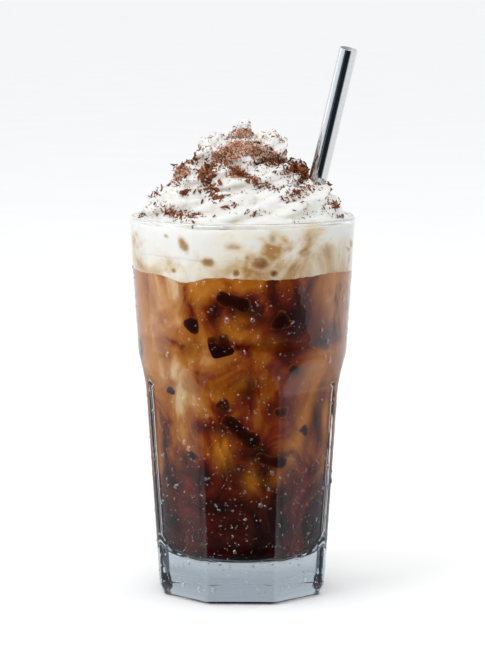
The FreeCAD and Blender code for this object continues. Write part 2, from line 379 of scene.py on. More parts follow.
def filling(name, bottom, top, bite, rows_count, material, slot):
    """A solid that fills the room between two uneven levels."""
    rows = []
    for share in np.linspace(0, 1, rows_count):
        z = bottom * (1 - share) + top * share
        radius = room_radius(z) + bite
        rows.append(np.column_stack([
            radius * np.cos(fine_angles), radius * np.sin(fine_angles), z]))
    for share, row in ((0.6, rows[0]), (0.6, rows[-1])):
        inner = row * [share, share, 1]
        inner[:, 2] = row[:, 2].mean()
        rows = [inner] + rows if row is rows[0] else rows + [inner]
    points, faces = lathe(rows)
    return piece(name, points, faces, material, slot)


def remember(thing, name, values):
    """Keeps one number per point of a mesh, for its material to read."""
    layer = thing.data.attributes.new(name, "FLOAT", "POINT")
    layer.data.foreach_set("value", np.asarray(values, dtype=np.float32))


def points_of(thing):
    """The points of a piece in millimetres, with their angle to the right of the front."""
    points = np.empty(len(thing.data.vertices) * 3)
    thing.data.vertices.foreach_get("co", points)
    points = points.reshape(-1, 3) / MM
    return points, np.degrees(np.arctan2(points[:, 0], -points[:, 1]))


def smoke(points, size, warp, octaves=4, seed=0.0):
    """A smooth noise from about -0.5 to 0.5, folded on itself like smoke."""
    found = np.empty(len(points))
    shift = Vector((seed, -seed, 2 * seed))
    for index, point in enumerate(points / size):
        place = Vector(point) + shift
        bent = place + warp * noise.noise_vector(place * 0.7)
        found[index] = 0.5 * noise.fractal(bent, 0.8, 2.1, octaves)
    return found


def blots(points, angles, facts):
    """Soft round spots: angle, height, half width, half height, slope, strength."""
    total = np.zeros(len(points))
    for angle, height, wide, high, slope, strength in facts:
        across = np.radians((angles - angle + 180) % 360 - 180) * 38.0
        up = points[:, 2] - height
        lean = math.radians(slope)
        a = (across * math.cos(lean) + up * math.sin(lean)) / wide
        b = (up * math.cos(lean) - across * math.sin(lean)) / high
        total += strength * np.exp(-(a * a + b * b))
    return total


# %% [markdown]
# ## Cold coffee with milk in it
# Milk falls through cold coffee in slow plumes. Near the foam and at the left the
# drink is tan and cloudy, further down veils of milk hang in amber coffee, and the
# bottom stays almost black. How much milk there is at each point of the skin is
# worked out like smoke: a share that depends on the height, bent and folded by noise,
# with plumes where the cubes stir the milk. The material turns it into a colour, and
# adds painted backlight: amber spots that stand for light shining through from behind.


# %% Wet wall
def like_a_mirror_at_a_slant(tree, shader):
    """Glass (1.52) turns to a mirror where it meets a drink (1.34) at a slant."""
    seen = add(tree, "ShaderNodeFresnel", {"IOR": 1.34 / 1.52})
    mirror = add(tree, "ShaderNodeBsdfAnisotropic", {"Color": (1, 1, 1, 1), "Roughness": 0.02})
    both = add(tree, "ShaderNodeMixShader", {
        0: seen.outputs["Fac"], 1: shader.outputs["BSDF"], 2: mirror.outputs["BSDF"]})
    output = next(n for n in tree.nodes if n.type == "OUTPUT_MATERIAL")
    tree.links.new(both.outputs["Shader"], output.inputs["Surface"])


# %% Coffee material
def milky_cold_coffee():
    material, tree, shader = new_material("milky_cold_coffee", {
        "Roughness": 0.6, "IOR": 1.34, "Specular IOR Level": 0.0})
    place = place_in_mm(tree)
    milk = add(tree, "ShaderNodeAttribute", attribute_name="milk").outputs["Fac"]
    painted_backlight = add(tree, "ShaderNodeAttribute", attribute_name="painted_backlight").outputs["Fac"]
    # fine veils, 1 to 3 mm wide and drawn out downwards
    tall = add(tree, "ShaderNodeVectorMath", {0: place, 1: (1.0, 1.0, 0.45)},
               operation="MULTIPLY").outputs["Vector"]
    veil = add(tree, "ShaderNodeTexNoise", {
        "Vector": tall, "Scale": 0.33, "Detail": 4.0, "Distortion": 1.2}).outputs["Fac"]
    strength = add(tree, "ShaderNodeMapRange", {
        "Value": milk, "From Min": 0.05, "From Max": 0.45, "To Max": 0.30}).outputs["Result"]
    centred = add(tree, "ShaderNodeMath", {0: veil, 1: 0.5}, operation="SUBTRACT").outputs["Value"]
    uneven = add(tree, "ShaderNodeMath", {0: centred, 1: strength, 2: milk},
                 operation="MULTIPLY_ADD").outputs["Value"]
    body = add(tree, "ShaderNodeValToRGB", {"Fac": uneven}, stops=[
        (0.0, "1c0301"), (0.08, "4a0e02"), (0.17, "742404"), (0.27, "94480a"), (0.37, "a65f18"),
        (0.50, "b06820"), (0.64, "be7c34"), (0.80, "cf995a"), (1.0, "e4c492")]).outputs["Color"]
    # painted backlight: amber where light shining through the coffee from behind is painted into its
    # colour
    coloured = add(tree, "ShaderNodeMix", {0: painted_backlight, 6: body, 7: linear("c97a12")},
                   data_type="RGBA").outputs[2]
    tree.links.new(coloured, shader.inputs["Base Color"])
    like_a_mirror_at_a_slant(tree, shader)
    return material


# %% Coffee
PLUMES = [
    # milk: angle, height, half width, half height, slope, strength
    (-48, 120, 12, 9, 0, 0.16), (-30, 124, 8, 4, 0, 0.18), (-52, 100, 14, 14, 10, 0.10),
    (-36, 92, 16, 9, -10, 0.14), (-30, 80, 14, 4, 5, 0.24), (-14, 96, 8, 5, -25, 0.20),
    (-22, 104, 4, 8, 30, 0.20), (2, 106, 7, 3, 20, 0.14), (-2, 99, 9, 4, -10, 0.18),
    (14, 90, 3, 12, -10, 0.16), (11, 76, 3, 14, -35, 0.18), (24, 66, 4, 6, 0, 0.14),
    (-7, 74, 5, 1.6, 30, 0.26), (14, 122, 2.6, 8, 5, 0.22), (0, 126, 9, 2, 0, 0.14),
    (34, 112, 12, 20, 0, -0.10), (-1, 116, 12, 5, 0, -0.12), (5, 86, 8, 7, 0, -0.16),
    (22, 102, 9, 8, 0, -0.10), (-20, 70, 9, 4, 0, -0.20), (-48, 74, 6, 10, 0, 0.18),
    (30, 78, 10, 8, 0, -0.08), (46, 84, 8, 10, 0, 0.06),
    # clear coffee round the cubes that touch the wall
    (-4, 120, 10, 4.5, -15, -0.16), (23, 112.5, 6, 5, 0, -0.14), (-28, 111, 5, 5, 0, -0.12),
    (-11.5, 103, 6, 6, 0, -0.08), (33, 93, 6, 5, 0, -0.10), (-12.5, 79.5, 4.5, 4, 0, -0.12),
    (0, 68.8, 12, 4, -44, -0.16), (20.5, 57.5, 9, 4, -10, -0.14), (-26, 71, 9, 3, 0, -0.14),
]
# painted backlight: angle, height, half width, half height, slope, strength of amber spots standing for
# light shining through the coffee from behind
PAINTED_BACKLIGHT_SPOTS = [
    (-68, 122, 8, 12, 0, 0.60), (-62, 98, 7, 8, 0, 0.50), (62, 122, 7, 6, 0, 0.30),
    (-13, 61, 4.5, 6, 0, 0.75), (8, 50, 4, 5, 0, 0.50), (-24, 124, 7, 4, 10, 0.35),
    (-2, 88, 8, 4, 20, 0.40), (-46, 66, 4, 9, 10, 0.60), (38, 60, 5, 6, 0, 0.40),
    (2, 127.5, 12, 2.6, 0, 0.45), (-8, 109, 8, 4, 25, 0.40), (24, 50, 5, 3, 0, 0.25),
    (8, 104, 8, 3, -10, 0.30), (-14, 80, 5, 3, 0, 0.45),
    (-66, 80, 5, 24, 0, 0.55), (-52, 60, 4, 9, 0, 0.50), (76, 110, 4, 20, 0, 0.45),
]


def round_the_back(facts):
    """The same kind of spots, strewn over the sides and the back."""
    more = []
    for turn in (108, 180, 252):
        for angle, height, wide, high, slope, strength in facts:
            more.append((turn + 0.8 * angle + dice.uniform(-9, 9), height + dice.uniform(-8, 6),
                         wide, high, slope + dice.uniform(-30, 30), strength))
    return list(facts) + more


def coffee_in_glass():
    made = filling("coffee_in_glass", np.full(FINE, FLOOR - 0.08), coffee_line, COFFEE_BITE,
                   188, milky_cold_coffee(), "coffee")
    points, angles = points_of(made)
    bent = points[:, 2] + 26 * smoke(points, 26.0, 0.8, 3, 1.0) + 9 * smoke(points, 9.0, 1.0, 3, 5.0)
    share = np.interp(bent, [15, 32, 44, 54, 66, 78, 92, 108, 131],
                      [0.01, 0.025, 0.06, 0.12, 0.18, 0.23, 0.25, 0.23, 0.25])
    to_the_left = np.exp(-((angles + 52) / 30) ** 2) + 0.8 * np.exp(-((angles - 150) / 34) ** 2)
    share += 0.34 * to_the_left * np.interp(bent, [50, 66], [0.0, 1.0])
    share += 0.07 * np.exp(-((np.abs(angles) - 46) / 15) ** 2) * np.interp(bent, [56, 66], [1.0, 0.0])
    to_the_right = 0.13 * np.exp(-((angles - 54) / 26) ** 2) + 0.06 * np.exp(-((angles - 8) / 20) ** 2)
    share -= to_the_right * np.interp(bent, [56, 66], [0.0, 1.0])
    folds = smoke(points * [1, 1, 0.7], 13.0, 1.6, 4, 9.0)
    milk = share * (1 + 1.6 * folds) + 0.08 * folds
    calm = np.interp(points[:, 2], [50, 64], [0.25, 1.0])
    milk += calm * blots(points, angles, round_the_back(PLUMES)) * (0.8 + 1.2 * folds)
    # painted backlight spots, strewn round the sides and the back as well
    painted_backlight = blots(points, angles, round_the_back(PAINTED_BACKLIGHT_SPOTS)) * np.clip(1 + 2.5 * folds, 0.2, 1.6)
    remember(made, "milk", np.clip(milk, 0, 1))
    remember(made, "painted_backlight", np.clip(painted_backlight, 0, 0.85))
    return made


coffee = coffee_in_glass()
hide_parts("coffee")

# %% [markdown]
# ## Ice at the wall
# Most of the ice is hidden in the milky coffee. Where a cube is pressed against the
# glass there is nothing milky in between, so the eye looks into dark, clear coffee
# through it. Each cube is a melted, rounded cube that is flattened on the wall, and
# it remembers how hard it was pressed there: its rim is brown, and it grows darker
# to the middle.


# %% Ice material
def ice_against_the_glass():
    material, tree, shader = new_material("ice_against_the_glass", {
        "Roughness": 0.3, "IOR": 1.31, "Specular IOR Level": 0.0})
    place = place_in_mm(tree)
    pressed = add(tree, "ShaderNodeAttribute", attribute_name="pressed").outputs["Fac"]
    milk = add(tree, "ShaderNodeTexNoise", {"Vector": place, "Scale": 0.28, "Detail": 4.0,
                                            "Distortion": 1.0})
    uneven = add(tree, "ShaderNodeMath", {0: milk.outputs["Fac"], 1: 1.5, 2: -0.75},
                 operation="MULTIPLY_ADD").outputs["Value"]
    depth = add(tree, "ShaderNodeMath", {0: pressed, 1: uneven}, operation="ADD").outputs["Value"]
    share = add(tree, "ShaderNodeMath", {0: depth, 1: 0.25}, operation="MULTIPLY").outputs["Value"]
    colour = add(tree, "ShaderNodeValToRGB", {"Fac": share}, stops=[
        (0.0, "7c4210"), (0.05, "5c2808"), (0.14, "3e1605"), (0.32, "270a03"),
        (1.0, "170502")]).outputs["Color"]
    tree.links.new(colour, shader.inputs["Base Color"])
    return material


# %% Ice cubes
def melted_cube(centre, side, turn):
    """Points, quads and pressed depths of a rounded cube, flattened on the wall."""
    cells = 17
    grid = np.linspace(-1, 1, cells + 1)
    points, faces = [], []
    for axis in range(3):
        for sign in (-1, 1):
            start = len(points)
            for a in grid:
                for b in grid:
                    point = [0.0, 0.0, 0.0]
                    point[axis], point[(axis + 1) % 3], point[(axis + 2) % 3] = sign, a, b
                    points.append(point)
            for i in range(cells):
                for j in range(cells):
                    quad = [start + i * (cells + 1) + j, start + (i + 1) * (cells + 1) + j,
                            start + (i + 1) * (cells + 1) + j + 1,
                            start + i * (cells + 1) + j + 1]
                    faces.append(tuple(quad[::sign]))
    shape = np.array(points)
    power = 5.0
    shape /= (np.abs(shape) ** power).sum(axis=1, keepdims=True) ** (1 / power)
    wobble = np.array([noise.noise(Vector(p * 1.3 + centre * 0.1)) for p in shape])
    shape = shape * (1 + 0.07 * wobble[:, None]) * side / 2
    shape = shape @ np.array(turn).T + centre
    radius = np.hypot(shape[:, 0], shape[:, 1])
    shape[:, 2] = np.clip(shape[:, 2], FLOOR + 0.5, COFFEE_LEVEL - 1.0)
    wall = room_radius(shape[:, 2]) + ICE_BITE
    over = np.maximum(radius - wall, 0.0)
    shape[:, :2] *= np.minimum(1.0, wall / np.maximum(radius, 1e-6))[:, None]
    return shape, faces, over


# cubes seen from the front: angle to the right of the front, height, how deep they press
# into the wall, side, what touches the wall, and its tilt in degrees
FRONT_ICE = [
    (-4.0, 120.5, 1.9, 13.5, "edge", 70), (-28.0, 111.0, 2.2, 14.0, "corner", 10),
    (23.0, 112.5, 2.6, 14.0, "corner", 50), (-11.5, 103.2, 1.1, 9.5, "face", 16),
    (33.0, 93.0, 1.2, 14.0, "corner", 80), (-12.5, 79.5, 1.7, 14.0, "corner", 30),
    (0.0, 68.8, 1.5, 21.0, "edge", 44), (20.5, 57.5, 1.3, 12.0, "edge", 75),
    (27.0, 76.3, 1.1, 13.0, "corner", 0), (-34.0, 58.5, 1.3, 13.0, "corner", 65),
    (46.0, 68.0, 1.2, 13.0, "corner", 20), (-52.0, 84.0, 1.2, 13.0, "corner", 40),
]
TOUCHING = {"corner": Vector((1, 1, 1)), "edge": Vector((1, 1, 0)), "face": Vector((1, 0, 0))}


def ice_pile():
    cubes = list(FRONT_ICE)
    for step in range(18):
        cubes.append((86 + 188 * step / 17 + dice.uniform(-6, 6), dice.uniform(52, 122),
                      dice.uniform(0.8, 1.8), dice.uniform(12, 17),
                      dice.choice(("corner", "edge")), dice.uniform(-90, 90)))
    parts, depths = [], []
    for angle, height, press, side, touch, tilt in cubes:
        way = math.radians(angle - 90)
        outward = Vector((math.cos(way), math.sin(way), 0))
        first = TOUCHING[touch].rotation_difference(Vector((1, 0, 0))).to_matrix()
        turn = Matrix.Rotation(way, 3, "Z") @ Matrix.Rotation(math.radians(tilt), 3, "X") @ first
        # how far a rounded cube reaches towards the wall
        local = turn.transposed() @ outward
        reach = side / 2 * sum(abs(part) ** 1.25 for part in local) ** 0.8
        away = float(room_radius(height)) + press - reach
        centre = np.array([away * outward.x, away * outward.y, height])
        points, faces, over = melted_cube(centre, side, turn)
        parts.append((points, faces))
        depths.append(over)
    pile = piece("ice_cubes", *gathered(parts), ice_against_the_glass(), "coffee")
    remember(pile, "pressed", np.concatenate(depths))
    return pile


ice_pile()

# %% [markdown]
# ## Milk foam and cream against the glass
# Above the coffee the drink turns from beige, bubbly foam to plain white cream.
# Large bubbles burst into brown hollows against the glass, small ones sit in strings
# along the coffee. One recipe serves both layers, so no seam shows between them.


# %% Foam material
def milk_foam_and_cream():
    material, tree, shader = new_material("milk_foam_and_cream", {
        "Roughness": 0.6, "Specular IOR Level": 0.1, "Subsurface Weight": 0.2,
        "Subsurface Radius": (1.0, 0.8, 0.6), "Subsurface Scale": 0.001})
    place = place_in_mm(tree)
    stain = add(tree, "ShaderNodeAttribute", attribute_name="stain").outputs["Fac"]
    burst = add(tree, "ShaderNodeAttribute", attribute_name="burst").outputs["Fac"]
    # painted light: the palest stop is whiter than the same cream on the mound, to make up for the light
    # the glass wall takes
    base = add(tree, "ShaderNodeValToRGB", {"Fac": stain}, stops=[
        (0.0, "fffefa"), (0.25, "fbf4e6"), (0.5, "ecdcc0"), (0.75, "d9b98c"),
        (1.0, "bd8e58")]).outputs["Color"]
    # small bubbles, 0.5 to 1.5 mm, each a dark point
    cells = add(tree, "ShaderNodeTexVoronoi", {"Vector": place, "Scale": 0.8}, feature="F1")
    dot = add(tree, "ShaderNodeMapRange", {
        "Value": cells.outputs["Distance"], "From Min": 0.10, "From Max": 0.26,
        "To Min": 1.0, "To Max": 0.0}, interpolation_type="SMOOTHSTEP").outputs["Result"]
    few = add(tree, "ShaderNodeSeparateColor", {"Color": cells.outputs["Color"]}).outputs["Red"]
    chosen = add(tree, "ShaderNodeMapRange", {
        "Value": few, "From Min": 0.70, "From Max": 0.78}).outputs["Result"]
    milky = add(tree, "ShaderNodeMapRange", {
        "Value": stain, "From Min": 0.15, "From Max": 0.6, "To Max": 0.75}).outputs["Result"]
    shown = add(tree, "ShaderNodeMath", {0: dot, 1: chosen}, operation="MULTIPLY").outputs["Value"]
    strength = add(tree, "ShaderNodeMath", {0: shown, 1: milky},
                   operation="MULTIPLY").outputs["Value"]
    dotted = add(tree, "ShaderNodeMix", {0: strength, 6: base, 7: linear("8a5f35")},
                 data_type="RGBA").outputs[2]
    hollows = add(tree, "ShaderNodeValToRGB", {"Fac": burst}, stops=[
        (0.0, "e9d8ba"), (0.45, "b78f5f"), (1.0, "6d4a2a")]).outputs["Color"]
    inside = add(tree, "ShaderNodeMapRange", {
        "Value": burst, "From Min": 0.05, "From Max": 0.30}).outputs["Result"]
    pitted = add(tree, "ShaderNodeMix", {0: inside, 6: dotted, 7: hollows},
                 data_type="RGBA").outputs[2]
    tree.links.new(pitted, shader.inputs["Base Color"])
    return material


# %% Foam and cream in the rim
# angle, height, half width, half height, slope and depth of burst bubbles
BURST = [
    (-31, 141.5, 1.7, 3.0, 25, 0.55), (-17, 135.4, 2.3, 1.7, -10, 0.62),
    (-3.5, 141.5, 3.2, 1.7, 0, 0.30),
    (10.5, 134.8, 3.2, 2.3, -10, 0.85), (-2.2, 131.6, 1.1, 1.3, 0, 1.0), (18, 131.0, 1.3, 1.1, 0, 1.05),
    (16.5, 144.5, 1.8, 2.4, 0, 0.32), (-38, 131.4, 1.2, 1.0, 0, 0.5),
    (-42, 144.5, 1.2, 0.8, -20, 0.35), (36, 138.0, 1.6, 1.2, 0, 0.3), (3.5, 137.4, 0.9, 0.9, 0, 0.4),
]
STREAKS = [
    (28, 139.5, 10, 1.2, -12, 0.50), (38, 135.5, 1.3, 5, 20, 0.40), (32, 133.4, 8, 3, 0, 0.30),
    (12, 138.5, 9, 4, 10, 0.42), (40, 143, 5, 3, 30, 0.30), (-34, 136, 5, 5, 0, 0.28),
    (6, 132.0, 9, 2, 0, 0.30), (52, 139, 5, 6, 0, 0.22), (-50, 131, 6, 2.4, 0, 0.25),
    (20, 142.0, 5, 1.6, 40, 0.30), (-12, 146.0, 6, 1.4, 0, 0.10),
]


def with_bubbles(thing):
    points, angles = points_of(thing)
    patchy = smoke(points, 11.0, 1.2, 4, 3.0)
    low = np.interp(points[:, 2], [129, 134, 140, 147], [0.42, 0.30, 0.14, 0.0])
    right = 0.28 * np.exp(-((angles - 22) / 30) ** 2) - 0.10 * np.exp(-((angles + 45) / 30) ** 2)
    stain = low + right + 0.75 * patchy
    stain += blots(points, angles, round_the_back(STREAKS)) * (0.7 + 1.5 * patchy)
    remember(thing, "stain", np.clip(stain, 0, 1))
    remember(thing, "burst", np.clip(blots(points, angles, round_the_back(BURST))
                                     * (1 + 0.8 * smoke(points, 2.5, 0.6, 2, 8.0)), 0, 1))


foam_finish = milk_foam_and_cream()
foam = filling("milk_foam_layer", coffee_line - 0.6, foam_line, FOAM_BITE, 24,
               foam_finish, "milk_foam")
with_bubbles(foam)
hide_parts("milk_foam")
collar = filling("cream_in_the_rim", foam_line, np.full(FINE, LIP_Z - 0.9),
                 FOAM_BITE, 40, foam_finish, "whipped_cream")
with_bubbles(collar)
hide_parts("whipped_cream")

# %% [markdown]
# ## Piped whipped cream
# Cream from a star nozzle lies in ridged ropes. Each push of the bag makes a dollop
# that swells and then tucks under the next one, three rounds of them and a curled
# tip. Each dollop here is a ridged rope on a short arc. A voxel remesh joins all of
# them into one skin, which keeps the folds between them, and a fine noise drawn out
# along the ropes gives the torn look of stiff cream.


# %% Ropes of cream
def rope(path, thick, ridges=7, deep=0.15, twist=1.6):
    """Points and quads of a ridged rope of cream along a path."""
    path = [Vector(p) for p in path]
    rows = []
    side = None
    for index, middle in enumerate(path):
        ahead = path[min(index + 1, len(path) - 1)] - path[max(index - 1, 0)]
        ahead.normalize()
        side = side or ahead.cross(Vector((0, 0, 1)))
        side = (side - ahead * side.dot(ahead)).normalized()
        up = ahead.cross(side)
        row = []
        for step in range(42):
            turn = 2 * math.pi * step / 42
            bulge = 1 + deep * math.cos(ridges * turn + twist * 2 * math.pi * index / len(path))
            row.append(middle + (side * math.cos(turn) + up * math.sin(turn)) * thick[index] * bulge)
        rows.append(np.array(row))
    return lathe(rows)


def dollop(angle, away, height, thick, sweep=70.0, rise=3.0, lean=0.0):
    """A dollop round the axis; angle is in degrees to the right of the front."""
    path, widths = [], []
    for step in range(26):
        t = step / 25
        way = math.radians(angle - 90 + sweep * (t - 0.5))
        swell = math.sin(math.pi * min(1.0, 0.08 + 0.92 * t)) ** 0.8
        reach = away * (0.62 + 0.38 * swell) + lean * (t - 0.5)
        path.append((reach * math.cos(way), reach * math.sin(way),
                     height + rise * (t - 0.5) - 1.2 * (1 - swell)))
        widths.append(thick * (0.30 + 0.70 * swell))
    return rope(path, widths, twist=dice.uniform(0.8, 2.0))


# angle, distance from the axis, height, thickness, sweep and rise of each dollop
DOLLOPS = [
    # the round that swells over the rim
    (-62, 29.0, 153.0, 9.6, 74, 2.5), (-8, 29.5, 151.8, 8.6, 62, 4.0), (34, 28.0, 153.2, 9.2, 60, 4.5),
    (70, 28.5, 155.0, 9.0, 62, 3.0), (98, 33.5, 151.0, 6.2, 44, 2.0), (128, 28.5, 153.4, 9.4, 64, 3.0),
    (176, 28.5, 153.0, 9.6, 66, 3.5), (226, 28.5, 153.6, 9.2, 66, 3.0), (268, 31.5, 151.2, 7.4, 50, 2.0),
    # the middle round
    (-80, 20.2, 163.6, 7.6, 66, 3.0), (-20, 17.2, 163.4, 7.6, 70, 3.4), (44, 18.2, 163.8, 7.8, 78, 3.0),
    (100, 18.8, 164.2, 7.4, 70, 3.0), (156, 18.2, 163.4, 7.8, 74, 3.4), (214, 18.4, 164.0, 7.6, 74, 3.0),
    # the top round
    (-74, 11.4, 174.6, 6.6, 84, 2.6), (0, 10.6, 173.8, 6.6, 80, 2.8), (70, 11.4, 176.0, 6.9, 84, 2.6),
    (144, 10.6, 175.2, 6.6, 86, 2.8), (216, 10.6, 174.4, 6.6, 86, 2.6),
]


def curled_tip():
    path, widths = [], []
    for step in range(24):
        t = step / 23
        way = 0.6 + 5.2 * t
        path.append((1.2 + 3.0 * (1 - t) * math.cos(way), -1.2 + 3.0 * (1 - t) * math.sin(way),
                     175.0 + 13.0 * t))
        widths.append(6.4 * (1 - t) ** 0.72 + 0.45)
    path.append((0.4, -0.8, 188.4))
    widths.append(0.35)
    return rope(path, widths, ridges=6, deep=0.12)


def heart_of_cream():
    """The cream under the dollops, from inside the tumbler to the tip."""
    levels = [(143.5, 37.0), (146.0, 39.6), (148.6, 40.4), (150.6, 38.5), (154, 33.0), (159, 27.0),
              (163, 21.5), (168, 16.5), (172, 12.5), (177, 8.5), (181, 5.0), (183, 1.5)]
    rows = []
    for height, radius in levels:
        lobes = 1 + 0.02 * np.sin(5 * turn_angles + height) + 0.015 * np.sin(9 * turn_angles)
        rows.append(ring(radius * lobes, height))
    return lathe(rows)


# %% One skin of cream
def joined_mesh(name, parts):
    points, faces = gathered(parts)
    mesh = bpy.data.meshes.new(name)
    mesh.from_pydata([tuple(p) for p in points * MM], [], faces)
    return mesh


def remeshed(mesh, voxel, smoothing):
    """Points and faces of a mesh after a voxel remesh and some smoothing."""
    raw = bpy.data.objects.new("raw", mesh)
    bpy.context.scene.collection.objects.link(raw)
    remesh = raw.modifiers.new("join", "REMESH")
    remesh.mode = "VOXEL"
    remesh.voxel_size = voxel * MM
    smooth = raw.modifiers.new("soften", "SMOOTH")
    smooth.factor, smooth.iterations = 0.5, smoothing
    done = raw.evaluated_get(bpy.context.evaluated_depsgraph_get()).to_mesh()
    points = np.empty(len(done.vertices) * 3)
    done.vertices.foreach_get("co", points)
    faces = [tuple(polygon.vertices) for polygon in done.polygons]
    bpy.data.objects.remove(raw)
    return points.reshape(-1, 3) / MM, faces


def normals_and_hollows(points, faces):
    """Unit normals, and how deep each point lies in a hollow, in millimetres."""
    quads = np.array([face if len(face) == 4 else (*face, face[-1]) for face in faces])
    cross = np.cross(points[quads[:, 2]] - points[quads[:, 0]],
                     points[quads[:, 3]] - points[quads[:, 1]])
    normals = np.zeros_like(points)
    for corner in range(4):
        np.add.at(normals, quads[:, corner], cross)
    normals /= np.linalg.norm(normals, axis=1, keepdims=True) + 1e-12
    calm = points.copy()
    for _ in range(14):
        middles = calm[quads].mean(axis=1)
        total = np.zeros_like(calm)
        count = np.zeros(len(calm))
        for corner in range(4):
            np.add.at(total, quads[:, corner], middles)
            np.add.at(count, quads[:, corner], 1)
        calm = total / count[:, None]
    return normals, ((calm - points) * normals).sum(axis=1)


def torn(points, normals):
    """Moves the skin by a noise that is drawn out along the ropes."""
    angle = np.arctan2(points[:, 1], points[:, 0])
    radius = np.hypot(points[:, 0], points[:, 1])
    moved = np.empty(len(points))
    for index, (a, r, z) in enumerate(zip(angle, radius, points[:, 2])):
        along = a * max(r, 6.0)
        across = z - 0.09 * along
        streak = noise.noise(Vector((0.13 * along, 0.42 * across, 0.25 * r)))
        fine = noise.noise(Vector((0.45 * along, 1.05 * across, 0.9 * r)))
        moved[index] = 0.95 * streak + 0.38 * fine
    return points + normals * moved[:, None]


# %% [markdown]
# ## What whipped cream looks like
# Whipped cream scatters light a little way under its skin, so its shadows are soft
# and its hollows are warm. Where the skin lies in a fold its colour is painted a
# touch darker and yellower, as painted shade, and chocolate dust stains it in patches.


# %% Cream material
def whipped_cream_skin():
    material, tree, shader = new_material("whipped_dairy_cream", {
        "Roughness": 0.42, "IOR": 1.42, "Specular IOR Level": 0.12, "Subsurface Weight": 0.3,
        "Subsurface Radius": (1.6, 1.1, 0.7), "Subsurface Scale": 0.001})
    place = place_in_mm(tree)
    painted_fold_shade = add(tree, "ShaderNodeAttribute", attribute_name="painted_fold_shade").outputs["Fac"]
    # painted shade: the deeper a point lies in a fold, the darker and yellower its colour
    deep = add(tree, "ShaderNodeMapRange", {
        "Value": painted_fold_shade, "From Min": 0.1, "From Max": 1.5}).outputs["Result"]
    base = add(tree, "ShaderNodeValToRGB", {"Fac": deep}, stops=[
        (0.0, "e1e0dc"), (0.40, "dad4c7"), (1.0, "d0b98e")]).outputs["Color"]
    dust = add(tree, "ShaderNodeAttribute", attribute_name="dust").outputs["Fac"]
    # powder of 0.2 to 0.5 mm grains
    grains = add(tree, "ShaderNodeTexNoise", {"Vector": place, "Scale": 1.6, "Detail": 4.0,
                                               "Roughness": 0.75}).outputs["Fac"]
    both = add(tree, "ShaderNodeMath", {0: grains, 1: dust}, operation="ADD").outputs["Value"]
    cover = add(tree, "ShaderNodeMapRange", {
        "Value": both, "From Min": 0.98, "From Max": 1.10, "To Max": 0.85}).outputs["Result"]
    stained = add(tree, "ShaderNodeMix", {0: cover, 6: base, 7: linear("a26535")},
                  data_type="RGBA").outputs[2]
    tree.links.new(stained, shader.inputs["Base Color"])
    # tiny air bubbles in the skin, about 0.6 mm apart
    pores = add(tree, "ShaderNodeTexNoise", {"Vector": place, "Scale": 1.5, "Detail": 3.0})
    bump = add(tree, "ShaderNodeBump", {
        "Height": pores.outputs["Fac"], "Strength": 0.3, "Distance": 0.0003})
    tree.links.new(bump.outputs["Normal"], shader.inputs["Normal"])
    return material


# %% Cream mound
mound_parts = [heart_of_cream(), curled_tip()] + [dollop(*facts) for facts in DOLLOPS]
mound_points, mound_faces = remeshed(joined_mesh("dollops", mound_parts), voxel=0.6, smoothing=3)
mound_normals, _ = normals_and_hollows(mound_points, mound_faces)
mound_points = torn(mound_points, mound_normals)
mound_normals, mound_hollows = normals_and_hollows(mound_points, mound_faces)
inside = mound_points[:, 2] < HEIGHT
reach = np.hypot(mound_points[:, 0], mound_points[:, 1])
limit = np.where(inside, room_radius(np.minimum(mound_points[:, 2], LIP_Z)) - 0.5, 99.0)
mound_points[:, :2] *= np.minimum(1.0, limit / np.maximum(reach, 1e-6))[:, None]
mound = piece("whipped_cream_mound", mound_points, mound_faces, whipped_cream_skin(),
              "whipped_cream")
print("cream stands %.1f mm high" % mound_points[:, 2].max())

# %% [markdown]
# ## Grated chocolate
# A grater throws dust, grains and short curls, which land in drifts on the side they
# are thrown from and roll into the folds. Every grain here is a small bent shaving
# that a ray sets down on the cream, denser in the drifts. They are joined into one
# mesh, and each shaving keeps its own shade.


# %% Chocolate material
def grated_milk_chocolate():
    material, tree, shader = new_material("grated_milk_chocolate", {
        "Roughness": 0.5, "IOR": 1.47, "Specular IOR Level": 0.15})
    place = place_in_mm(tree)
    shade = add(tree, "ShaderNodeAttribute", attribute_name="shade").outputs["Fac"]
    fat = add(tree, "ShaderNodeTexNoise", {"Vector": place, "Scale": 1.2, "Detail": 3.0})
    mottled = add(tree, "ShaderNodeMath", {0: fat.outputs["Fac"], 1: 0.4, 2: -0.2},
                  operation="MULTIPLY_ADD").outputs["Value"]
    both = add(tree, "ShaderNodeMath", {0: shade, 1: mottled}, operation="ADD").outputs["Value"]
    colour = add(tree, "ShaderNodeValToRGB", {"Fac": both}, stops=[
        (0.0, "371605"), (0.3, "653010"), (0.6, "905126"), (0.85, "b57a48"),
        (1.0, "c48f5b")]).outputs["Color"]
    tree.links.new(colour, shader.inputs["Base Color"])
    return material


# %% Shavings
def shaving(length, width, thick, bend, sections):
    """Corner points and faces of a bent, ragged strip, lying flat at the origin."""
    points, faces = [], []
    for section in range(sections):
        t = section / (sections - 1) - 0.5
        turn = bend * t
        if abs(bend) > 0.05:
            x, z = length / bend * math.sin(turn), length / bend * (1 - math.cos(turn))
        else:
            x, z = length * t, 0.0
        half = width / 2 * (1 - 0.7 * abs(2 * t) ** 2) * dice.uniform(0.75, 1.2)
        away = (-math.sin(turn), math.cos(turn))
        for across, over in ((-half, 0), (half, 0), (half, thick), (-half, thick)):
            points.append((x + over * away[0], across, z + over * away[1]))
    for section in range(sections - 1):
        a, b = 4 * section, 4 * section + 4
        for side in range(4):
            after = (side + 1) % 4
            faces.append((a + side, b + side, b + after, a + after))
    last = 4 * (sections - 1)
    faces += [(0, 1, 2, 3), (last + 3, last + 2, last + 1, last)]
    return np.array(points), faces


cream_tree = BVHTree.FromPolygons([Vector(p) for p in mound_points], mound_faces)
shavings = {"parts": [], "shade": [], "spots": []}
LOWEST_SHAVING = 148.2


